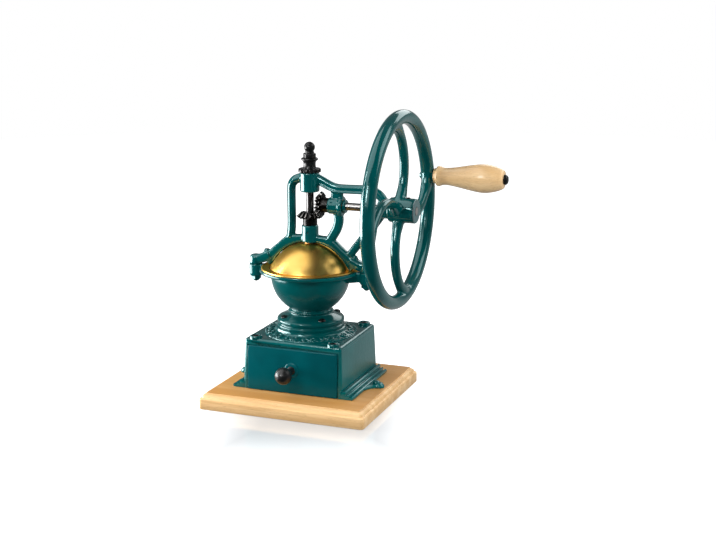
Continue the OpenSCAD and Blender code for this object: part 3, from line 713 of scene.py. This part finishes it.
def box_disc():
    """The raised round step that the bowl stands on."""
    rise = [(OUTLET, 69), (47.2, 69), (48, 69.5), (48, 70.4), (47.7, 70.9), (47.0, 71.2), (46.0, 71.2)]
    rise += [(45.4, 70.9), (38.6, 73.2), (37.6, 73.9), (37.1, 75.2), (36.8, 76.6), (36.2, DISC_TOP)]
    rise.append((OUTLET, DISC_TOP))
    return Form().turn(rise, steps=160, closed=True).make("disc")


def box_pads():
    """Round seats of the corner screws."""
    outline = [(0, 69), (6.8, 69), (6.6, 71.4), (6.1, 72.2), (5.3, 72.5), (4.6, 72.1), (4.3, 71), (0, 71)]
    pads = Form()
    for x, y in CORNERS:
        pads.turn(outline, at=(x, y, 0), steps=48)
    return pads.make("pads")


def bead(radius, steps):
    return Form().turn(arc((0, 0), radius, -90, 90, 8), steps=steps).make("bead")


def scroll():
    """A raised curl for the ornament, lying along Y."""
    curl = []
    for i in range(25):
        t = i / 24
        x, y = polar(2.7 * (1 - 0.72 * t), -70 + 400 * t)
        curl.append(Vector((x, -0.6 + y, 0)))
    line = smooth([(-1.6, -5.0, 0), (-0.4, -4.3, 0), curl[0]], 5)[:-1] + curl
    last = len(line) - 1
    wide = [0.35 + 0.5 * math.sin(math.pi * (0.12 + 0.8 * i / last)) for i in range(len(line))]
    return Form().bar(line, Z, wide, [w * 0.9 for w in wide], sides=12).make("scroll")


def leaf():
    """A small raised petal pointing along X."""
    rings = []
    for i in range(11):
        t = i / 10
        wide = 1.9 * math.sin(math.pi * (0.06 + 0.88 * t)) ** 0.8
        tall = 1.0 * math.sin(math.pi * (0.1 + 0.8 * t))
        section = [polar(1, 22.5 * k) for k in range(16)]
        rings.append([(-2.6 + 5.2 * t, wide * y, max(tall * z, -0.5)) for y, z in section])
    return Form().loft(rings).make("leaf")


def box_ornament():
    """Rings of beads, scrolls and leaves round the disc."""
    return [
        repeat("beads", bead(1.0, 16), round_places(64, 46.6, 71.0), "enamel"),
        repeat("scrolls", scroll(), round_places(14, 41.8, 72.3, 18), "enamel", 1.45),
        repeat("leaves", leaf(), round_places(14, 41.6, 72.2, 18, 0.0), "enamel", 1.3),
    ]


def make_box():
    shell = box_shell()
    for side in (1, -1):
        shell = join(shell, box_skirt(side), box_ear(side))
    shell = join(shell, box_disc(), box_pads(), *box_ornament())
    show(shell, "box_casting", "box_enamel", 40)


def screw_head(name, radius, height):
    """A round head with a slot."""
    edge = 0.3
    outline = [(0, -1.5), (radius * 0.6, -1.5), (radius * 0.6, 0), (radius * 0.94, 0), (radius, edge)]
    for t in (0.3, 0.6, 0.9, 1.2, 1.4):
        outline.append((radius * math.cos(t), edge + (height - edge) * math.sin(t)))
    outline.append((0, height))
    slot = block("slot", (-radius * 1.2, -0.5, height - 1.1), (radius * 1.2, 0.5, height + 1))
    return cut(Form().turn(outline, steps=40).make(name), slot)


def make_corner_screws():
    places = [((x, y, 71), (0, 0, a)) for (x, y), a in zip(CORNERS, (20, 65, 110, 155))]
    heads = repeat("corner_heads", screw_head("head", 4, 1.7), places, "black_metal")
    show(heads, "corner_screws", "black_metal", 35)


def make_ear_screws():
    cap = [(0, -2), (3.9, -2), (3.9, 0.3), (3.6, 1.1), (2.8, 1.8), (1.5, 2.2), (0, 2.3)]
    cap = Form().turn(cap, steps=40).make("cap")
    heads = repeat("ear_heads", cap, pair_places(73, BOARD_TOP + 4.6, 35, 130), "enamel")
    show(heads, "ear_screws", "enamel", 35)


def make_collar_screws():
    places = round_places(4, 29.5, 87.4, extra=30)
    heads = repeat("collar_heads", screw_head("head", 4, 2.6), places, "black_metal")
    show(heads, "collar_screws", "black_metal", 35)


def make_drawer_front():
    lean = BOX_LEAN / (BOX_TOP - BOARD_TOP)
    foot, back = -53.0, -46.0
    low, top = 17.1, 63.3
    face = [(foot + lean * (low - BOARD_TOP), low), (back, low), (back, top)]
    face.append((foot + lean * (top - BOARD_TOP), top))
    rings = [[(x, y, z) for y, z in face] for x in (-49.4, 49.4)]
    front = bevel(Form().loft(rings).make("drawer_face"), 1.3, 4, 30)
    rose = [(0, -53.2), (5.6, -53.2), (7.2, -52.9), (7.9, -52.4), (8.1, -51.6), (0, -51.6)]
    rose = Form().turn(rose, along=Y, at=(0, 0, KNOB_Z), steps=64).make("rose")
    show(join(front, rose), "drawer_front", "front_enamel", 40)


def make_drawer_knob():
    middle, ball = -72.08, 8.75
    outline = [(0, middle - ball)]
    for t in (0.15, 0.35, 0.6, 0.9, 1.2, 1.5, 1.8, 2.1, 2.4, 2.6, 2.72):
        outline.append((ball * math.sin(t), middle - ball * math.cos(t)))
    outline += [(3.25, -63.7), (3.0, -62.6), (3.0, -56), (3.3, -54.6), (4.2, -53.7), (4.4, -53.2)]
    outline += [(4.2, -52.4), (0, -52.2)]
    knob = Form().turn(outline, along=Y, at=(0, 0, KNOB_Z), steps=64).make("knob")
    show(knob, "drawer_knob", "black_knob", 50)


# Bowl and dome


def bowl_wall():
    """Stepped collar, neck, bowl and flat rim, turned in one."""
    line = [(20.02, DISC_TOP), (34.5, DISC_TOP), (35, 77.5), (35, 79.2), (34.7, 79.7), (33.9, 80.0)]
    line += [(33.6, 80.5), (33.6, 81.6), (33.9, 82.1), (34.7, 82.4), (35, 82.9), (35, 84.7), (34.6, 85.5)]
    line += [(33.6, 86.5), (32.4, 87.2), (27, 89.1), (24, 90.1), (22.9, 90.7), (22.4, 91.6), (22.5, 92.6)]
    line += [(22.9, 93.2), (22.7, 94.1), (21.9, 94.8), (21.3, 95.6)]
    neck = math.degrees(math.asin(-35.0 / BOWL))
    line += arc((0, BOWL_MID), BOWL, neck, 1.5, 28)
    line += [(41.3, 132.8), (42.0, 133.5), (43.2, 133.9), (51.6, 134.0), (52.3, 134.4), (52.5, 135.0)]
    line += [(52.5, 136.7), (52.2, 137.3), (51.6, RIM), (37.6, RIM), (37.1, 137.2)]
    line += arc((0, BOWL_MID), 37.8, 9, -64.5, 24)
    line += [(16, 96.2), (16, 90.2), (20.02, 90)]
    return Form().turn(line, steps=192, closed=True).make("bowl")


def bowl_ear(side):
    """A lug for the yoke's bolt, on an arm under the rim, cut level where the yoke stands."""
    lug = [(0, 124.5), (5.6, 124.5), (6.6, 125.2), (7, 126.4), (7, 136.4), (6.6, 137.2), (6, RIM), (0, RIM)]
    ear = Form().turn(lug, at=(side * EAR_X, 0, 0), steps=48)
    arm = smooth([(38, 0, 131.2), (46, 0, 131.8), (54, 0, 132.3), (EAR_X, 0, 132.3)], 5)
    tall = [7.2 - 2.2 * i / (len(arm) - 1) for i in range(len(arm))]
    ear.bar([(side * p.x, 0, p.z) for p in arm], Y, tall, 4.25, 3.2)
    seat = block("seat", (-75, -12, RIM - 0.05), (75, 12, 150))
    return cut(cast(ear.make("ear"), 0.55, 6), seat)


def make_bowl():
    bowl = bowl_wall()
    bowl = join(bowl, repeat("neck_beads", bead(0.9, 14), round_places(46, 22.7, 92.9), "enamel"))
    for side in (1, -1):
        bowl = join(bowl, bowl_ear(side))
    show(bowl, "bowl_casting", "bowl_enamel", 45)


def half_shell(name, radius, low, mouth, keep_front, level):
    """A thin spun shell from a height up to its mouth, cut by an upright plane at level."""
    sheet = 1.2
    sides = []
    for r in (radius, radius - sheet):
        start = math.degrees(math.asin((low - DOME_MID) / r))
        sides.append(arc((0, DOME_MID), r, start, math.degrees(math.acos(mouth / r)), 40))
    outer, inner = sides
    shell = Form().turn(outer + inner[::-1], steps=192, closed=True).make(name)
    bm = bmesh.new()
    bm.from_mesh(shell.data)
    result = bmesh.ops.bisect_plane(
        bm,
        geom=bm.verts[:] + bm.edges[:] + bm.faces[:],
        plane_co=(0, level * MM, 0),
        plane_no=Y,
        clear_outer=keep_front,
        clear_inner=not keep_front,
    )
    rim = [e for e in result["geom_cut"] if isinstance(e, bmesh.types.BMEdge)]
    bmesh.ops.triangle_fill(bm, edges=rim, use_beauty=True)
    bm.to_mesh(shell.data)
    bm.free()
    clean(shell)
    return shell


def make_dome():
    front = half_shell("dome_shutter", radius=46.0, low=137.75, mouth=6.4, keep_front=True, level=8.25)
    show(front, "dome_front", "brass", 35)
    rear = half_shell("dome_shell", radius=47.6, low=137.6, mouth=13.0, keep_front=False, level=5.25)
    brim = [(42.39, RIM), (42.39, 138.3), (42.7, 138.65), (43.4, 138.7), (47.9, 138.55), (48.7, 138.75)]
    brim += [(49.4, 139.1), (50.1, 139.2), (50.7, 139.0), (51.0, 138.5), (51.0, 137.9), (50.7, 137.6)]
    brim.append((50.2, RIM))
    brim = Form().turn(brim, steps=192, closed=True).make("brim")
    show(join(rear, brim), "dome_rear", "brass", 35)


# Yoke


def yoke_line(points):
    """A smooth line in the yoke's plane, through (distance, height) pairs."""
    return smooth([(x, 0, z) for x, z in points])


def yoke_bars(form):
    """Left upright, arm with a bead, leg under the barrel, brace, and stem above the barrel."""
    post = [(-7.4, 231.9), (-15.6, 228.9), (-19.7, 223.9), (-20.5, BOSS_LOW), (-20.5, AXIS)]
    post += [(-20.5, 181.2), (-22, 169)]
    form.bar(yoke_line(post), Y, 4.9, 5.5, 1.3)
    arm = [(7.4, 231), (14, 228.4), (24, 224.1), (32, 222.6), (45, 222.6), (60, 222.9), (70, 221.9)]
    arm = yoke_line(arm + [(77, 217.1), (80.95, 211.2)])
    form.bar(arm, Y, [4.4 + 1.3 * max(0, 1 - i / 16) for i in range(len(arm))], YOKE_HALF, 2.5)
    form.bar([(p.x, -3.9, p.z - 3.3) for p in arm[5:]], Y, 1.2, 1.3)
    leg = yoke_line([(31, 197.2), (31.8, 189.4), (29.5, 180.4), (23, 169.5)])
    form.bar(leg, Y, 5.0, YOKE_HALF, 2.5)
    brace = yoke_line([(44, 154.5), (58, 172.5), (70, 186.9), (77.45, 197.3)])
    form.bar(brace, Y, 4.2, YOKE_HALF, 2.5)
    stem = yoke_line([(30, 211.2), (30, 216), (30, 222)])
    form.bar(stem, Y, [6.2, 6.0] + [6.4] * (len(stem) - 2), 4.0, 3)


def yoke_arch(form):
    """The arch over the dome: outer has (angle in degrees, radius) pairs for its right half."""
    inner = 46.7
    outer = [(26.2, 63.5), (29.6, 60.6), (33.8, 58.3), (49, 56.2), (64.6, 57.6), (77, 55.2), (90, 54.7)]
    outer = smooth(outer)
    outer += [Vector((180 - p.x, p.y)) for p in reversed(outer[:-1])]
    path, half = [], []
    for p in outer:
        x, z = polar((p.y + inner) / 2, p.x)
        path.append((x, 0, DOME_MID + z))
        half.append((p.y - inner) / 2)
    form.bar(path, Y, half, YOKE_HALF, 2.8, 28)


def yoke_foot(form, side):
    """A foot with its lug on the bowl's ear and a seat for the brim screw."""
    foot = yoke_line([(side * 44.5, 147.8), (side * 50, 145.5), (side * 56, 143.4), (side * 63, 142.4)])
    form.bar(foot, Y, [5.7 - 0.06 * i for i in range(len(foot))], 5.6, 3.0)
    lug = [(0, RIM), (6.3, RIM), (6.9, 138.0), (7, 139), (6.1, 145), (5.3, 146.6), (3.6, 147.4), (0, 147.4)]
    form.turn(lug, at=(side * EAR_X, 0, 0), steps=48)
    seat = [(0, 143), (3.9, 143), (3.8, 151.4), (3.2, 152.5), (0, 152.5)]
    form.turn(seat, at=(side * BRIM_SCREW_X, 0, 0), steps=40)


def yoke_bearings(form):
    """Two bosses on the spindle, then the barrel, its collar and the outer bearing on the drive shaft."""
    for low, high, r in ((165.0, 182.9, 8.7), (BOSS_LOW, BOSS_TOP, 10)):
        ring = [(BUSH, low), (r - 1, low), (r - 0.2, low + 0.6), (r, low + 1.4)]
        ring += [(r, high - 1), (r - 0.5, high - 0.2), (r - 1, high), (BUSH, high)]
        form.turn(ring, steps=64, closed=True)
    edge = 0.6
    for low, high, r in ((21.5, 37.0, 8.6), (33.2, 37.0, 9.9), (75.45, 86.45, 9.5)):
        ring = [(BUSH, low), (r - edge, low), (r, low + edge)]
        ring += [(r, high - edge), (r - edge, high), (BUSH, high)]
        form.turn(ring, along=X, at=(0, 0, AXIS), steps=64, closed=True)


def make_yoke():
    form = Form()
    yoke_bars(form)
    yoke_arch(form)
    for side in (1, -1):
        yoke_foot(form, side)
    yoke_bearings(form)
    yoke = cast(form.make("yoke_casting"), 0.5, 9)
    oil_holes = Form()
    for place in ((0.6, -10, 176), (26, -10.5, AXIS + 4.6)):
        oil_holes.turn(rod(1.2, 0, 3.6), along=Y, at=place, steps=24)
    bore = Form().turn(rod(BUSH, 150, 184), steps=64)
    cut(yoke, oil_holes.make("oil_holes"), bore.make("bore"))
    show(yoke, "yoke", "enamel", 60)


def make_thrust_collar():
    ring = [(4.06, 37.62), (6.6, 37.62), (6.8, 37.9), (6.8, 39.6), (6.4, 40), (4.06, 40)]
    collar = Form().turn(ring, along=X, at=(0, 0, AXIS), steps=56, closed=True).make("shaft_collar")
    show(collar, "thrust_collar", "enamel", 40)


def make_yoke_bolts():
    nut = Form().loft(layers(hexagon(5.6), ((0, 0.94), (-0.4, 1), (-3.0, 1), (-3.4, 0.92))))
    nut.turn([(0, -3.2), (3.5, -3.2), (3.4, -4.2), (2.4, -5.4), (1.2, -6), (0, -6)], steps=32)
    nut.turn(rod(2.9, -1, 19), steps=32)
    nuts = repeat("yoke_nuts", nut.make("nut"), pair_places(EAR_X, 124.5, 12, 40), "black_metal")
    show(nuts, "yoke_bolts", "enamel", 35)


def make_brim_screws():
    places = pair_places(BRIM_SCREW_X, 152.5, 50, 110)
    heads = repeat("brim_heads", screw_head("head", 3.0, 2.2), places, "black_metal")
    show(heads, "brim_screws", "enamel", 35)


# Adjuster and finial


def make_adjuster():
    outline = []
    for i in range(10):
        middle = 36 * i
        outline += arc(polar(STAR, middle), 1.7, middle + 264, middle + 96, 8)
        outline += arc((0, 0), STAR, middle + 9.4, middle + 26.6, 5)
    levels = ((BOSS_TOP, 0.95), (237.9, 1.0), (240.6, 1.0), (241.2, 0.96), (241.4, 0.9))
    body = [(0, 241), (7.2, 241), (7.0, 242), (6.4, 243), (6.2, 245), (6.3, 247), (6.9, 248.6), (8.0, 249.6)]
    body += [(8.6, 250.1), (8.7, 250.7), (8.6, 251.4), (8.1, 251.9), (0, 251.9)]
    adjuster = Form().loft(layers(outline, levels)).turn(body, steps=72).make("adjuster_nut")
    show(adjuster, "adjuster", "black_metal", 38)


def make_lock_nut():
    levels = ((251.9, 0.96), (252.3, 1), (256.4, 1), (256.9, 0.9))
    nut = Form().loft(layers(hexagon(6.6, 15), levels)).make("lock")
    show(bevel(nut, 0.25, 2, 25), "lock_nut", "black_metal", 30)


def make_finial():
    ball = [(0, 257.2), (4.7, 257.2), (4.8, 257.6), (4.45, 258.3), (4.3, 259)]
    ball += arc((0, 262.9), 5.6, -38, 90, 16)
    show(Form().turn(ball, steps=56).make("ball_finial"), "finial", "black_metal", 50)


# Flywheel and grip


def wheel_spoke(form, quarter):
    """A spoke curved about a point beside the hub, wider at both ends."""
    turn = math.radians(90 * quarter)
    path, half = [], []
    for y, z in arc((-37.1, 41.5), 50.18, -40, 72, 40):
        across = y * math.cos(turn) - z * math.sin(turn)
        up = y * math.sin(turn) + z * math.cos(turn)
        path.append((WHEEL_X, across, AXIS + up))
        far = math.hypot(y, z)
        half.append(4.9 + 2.6 * max(0, (24 - far) / 24) + 3.4 * max(0, (far - 74) / 18) ** 2)
    form.bar(path, X, half, [min(5.6, h * 0.98) for h in half], 2.1)


def make_wheel():
    section = arc((WHEEL_MID, WHEEL_X), WHEEL_HALF, 0, 360, 32)[:-1]
    form = Form().turn(section, along=X, at=(0, 0, AXIS), steps=160, closed=True)
    for quarter in range(4):
        wheel_spoke(form, quarter)
    hub = [(4.05, 86.75), (11.6, 86.75), (12.3, 87.3), (12.5, 88.2), (12.5, 114), (12.2, 114.7)]
    hub += [(11.6, HUB_END), (4.05, HUB_END)]
    form.turn(hub, along=X, at=(0, 0, AXIS), steps=72, closed=True)
    pad = [(3.1, 97), (6.6, 97), (6.6, 104), (6.1, 104.6), (3.1, 104.65)]
    form.turn(pad, along=X, at=PIN, steps=48, closed=True)
    boss = [(0, 88.25), (2.6, 88.25), (3.3, 88.8), (3.6, 90), (3.6, 96), (0, 96)]
    form.turn(boss, along=X, at=PIN, steps=32)
    wheel = cast(form.make("wheel_casting"), 0.85, 8)
    show(wheel, "flywheel", "wheel_enamel", 60)


def make_grip():
    bore, end = 3.06, 75
    shape = [(8.0, 0.0), (8.2, 1.4), (9.0, 2.4), (10.4, 3.4), (10.8, 5.0), (10.4, 6.6), (9.4, 9.4), (9.1, 14)]
    shape += [(10.4, 24), (13.4, 40), (15.0, 52), (14.3, 61), (12.2, 69), (10.2, 73.6), (9.0, end)]
    outline = [(bore, 0)] + [(p.x, p.y) for p in smooth(shape, 5)] + [(bore, end)]
    place = (104.95, PIN.y, PIN.z)
    grip = Form().turn(outline, along=X, at=place, steps=72, closed=True).make("wood_grip")
    show(grip, "grip", "grip_wood", 50)


def make_crank_pin():
    pin = [(0, 97.25), (3, 97.25), (3, 180.2), (5.3, 180.25), (5.5, 180.6), (5.4, 181.6), (4.8, 183)]
    pin += [(3.6, 184.0), (1.8, 184.5), (0, 184.55)]
    pin = Form().turn(pin, along=X, at=PIN, steps=48).make("pin")
    show(pin, "crank_pin", "black_metal", 40)


# Pieces that keep the frame's own shape


def paint_nodes():
    plain = {
        "rail_left": "steel_x",
        "rail_right": "steel_x",
        "drawer_tray": "tray_wood",
        "knob_screw": "steel_x",
        "outer_burr": "burr_iron",
        "lower_bush": "bronze_z",
        "upper_bush": "bronze_z",
        "inner_bush": "bronze_x",
        "outer_bush": "bronze_x",
        "spindle": "steel_z",
        "inner_burr": "burr_iron",
        "burr_nut": "steel_z",
        "crown_gear": "crown_iron",
        "gear_key": "steel_z",
        "drive_shaft": "steel_x",
        "pinion": "pinion_iron",
        "hub_screw": "black_metal",
    }
    softened = {"drawer_tray": 0.5, "crown_gear": 0.22, "pinion": 0.22, "drive_shaft": 0.4}
    for name, material in plain.items():
        node = frame["nodes"][name]
        node.data.materials.clear()
        node.data.materials.append(MATERIALS[material])
        if name in softened:
            modify(node, "BEVEL", **edges(softened[name], 2, 35))


# Studio, in metres


def make_floor():
    """A glowing white floor with a grey zone of painted shade in front of the mill, left out of its light and
    reflections.
    """
    mesh = bpy.data.meshes.new("floor")
    count = 72
    mesh.from_pydata([(*polar(2.2, 360 / count * i), 0) for i in range(count)], [], [range(count)])
    floor = bpy.data.objects.new("floor", mesh)
    floor.location.z = -0.0003
    floor.visible_diffuse = floor.visible_glossy = floor.visible_shadow = False
    bpy.context.scene.collection.objects.link(floor)
    paint = Paint("floor", Metallic=0.3, Emission_Strength=1.0)
    cloud = paint.noise(3)
    x, y, _ = paint.axes()
    right, forward = 0.356, 0.934
    near = x * right - y * forward
    aside = (x * forward + y * right).math("ABSOLUTE")
    # Painted shade: colour and glow are grey in front of and under the mill, and white further off.
    far = near.step(0.09, 0.28).math("MAXIMUM", aside.step(0.04, 0.15))
    far = far.math("MAXIMUM", (near * -1).step(-0.02, 0.06))
    paint.set(
        Base_Color=paint.mix(far * (0.9 + cloud * 0.1), colour(0.35, 0.36, 0.37), colour(0.92, 0.93, 0.94)),
        Roughness=0.07 + cloud * 0.04,
        Emission_Color=paint.mix(far, colour(0.36, 0.375, 0.385), colour(1.0, 1.0, 1.0)),
    )
    mesh.materials.append(paint.material)
    return floor


def lamp(name, place, aim, size, power, mirrored=True):
    """A soft panel that the camera doesn't see, and that reflections show only if it is mirrored."""
    data = bpy.data.lights.new(name, "AREA")
    data.shape = "RECTANGLE"
    data.size, data.size_y = size
    data.energy = power
    light = bpy.data.objects.new(name, data)
    light.location = place
    light.rotation_euler = (Vector(aim) - Vector(place)).to_track_quat("-Z", "Y").to_euler()
    light.visible_camera = False
    light.visible_glossy = mirrored
    bpy.context.scene.collection.objects.link(light)
    return light


def make_lamps():
    return [
        lamp("left_panel", (-0.84, -0.2, 0.11), (0, 0, 0.2), (0.8, 0.42), 16),
        lamp("left_strip", (-0.94, -0.15, 0.5), (0, 0, 0.2), (0.07, 0.5), 2.4),
        lamp("top_box", (-0.5, -0.25, 1.1), (0, 0, 0.15), (1.4, 1.1), 8.5),
        lamp("front_box", (-0.15, -1.25, 0.74), (0, 0, 0.15), (1.5, 0.5), 3.2),
        lamp("front_spot", (-0.25, -1.22, 0.78), (0.05, 0, 0.2), (0.24, 0.32), 5.4),
        lamp("right_box", (0.8, 0.28, 0.8), (0, 0, 0.15), (0.6, 0.6), 2.8),
        lamp("rear_box", (0.25, 1.1, 0.75), (0, 0, 0.1), (1.0, 0.5), 4),
        lamp("right_fill", (1.0, -0.25, 0.4), (0, 0, 0.1), (0.3, 0.5), 7, mirrored=False),
        lamp("low_fill", (0.3, -1.0, -0.5), (0, 0, 0.15), (1.2, 0.8), 3.5, mirrored=False),
    ]


def make_world():
    """Surroundings that are white to the camera, and otherwise lighter behind and below the mill."""
    world = bpy.data.worlds.new("studio")
    bpy.context.scene.world = world
    world.use_nodes = True
    tree = Tree(world.node_tree)
    _, back, up = tree.split(tree.add("ShaderNodeTexCoord").outputs["Generated"])
    glow = back.step(-0.3, 0.8, 0.02, 0.5) * up.step(-0.2, 0.25, 1.0, 0.35)
    seen = tree.add("ShaderNodeLightPath").outputs["Is Camera Ray"]
    strength = glow.math("MAXIMUM", seen)
    sky = tree.add("ShaderNodeBackground", {"Color": colour(1.0, 1.0, 1.0), "Strength": strength})
    tree.add("ShaderNodeOutputWorld", {"Surface": sky.outputs[0]})


def make_camera():
    bpy.context.scene.view_settings.view_transform = "Standard"
    data = bpy.data.cameras.new("camera")
    data.sensor_width = 36
    data.lens = 67.1
    camera = bpy.data.objects.new("camera", data)
    camera.location = (0.52399, -1.23939, 0.44916)
    camera.rotation_euler = Vector((-0.3462, 0.9102, -0.2275)).to_track_quat("-Z", "Y").to_euler()
    bpy.context.scene.collection.objects.link(camera)
    bpy.context.scene.camera = camera


def make_studio():
    floor = make_floor()
    lights = make_lamps()
    make_world()
    make_camera()


make_board()
make_box()
make_corner_screws()
make_ear_screws()
make_collar_screws()
make_drawer_front()
make_drawer_knob()
make_bowl()
make_dome()
make_yoke()
make_thrust_collar()
make_yoke_bolts()
make_brim_screws()
make_adjuster()
make_lock_nut()
make_finial()
make_wheel()
make_grip()
make_crank_pin()
paint_nodes()
make_studio()
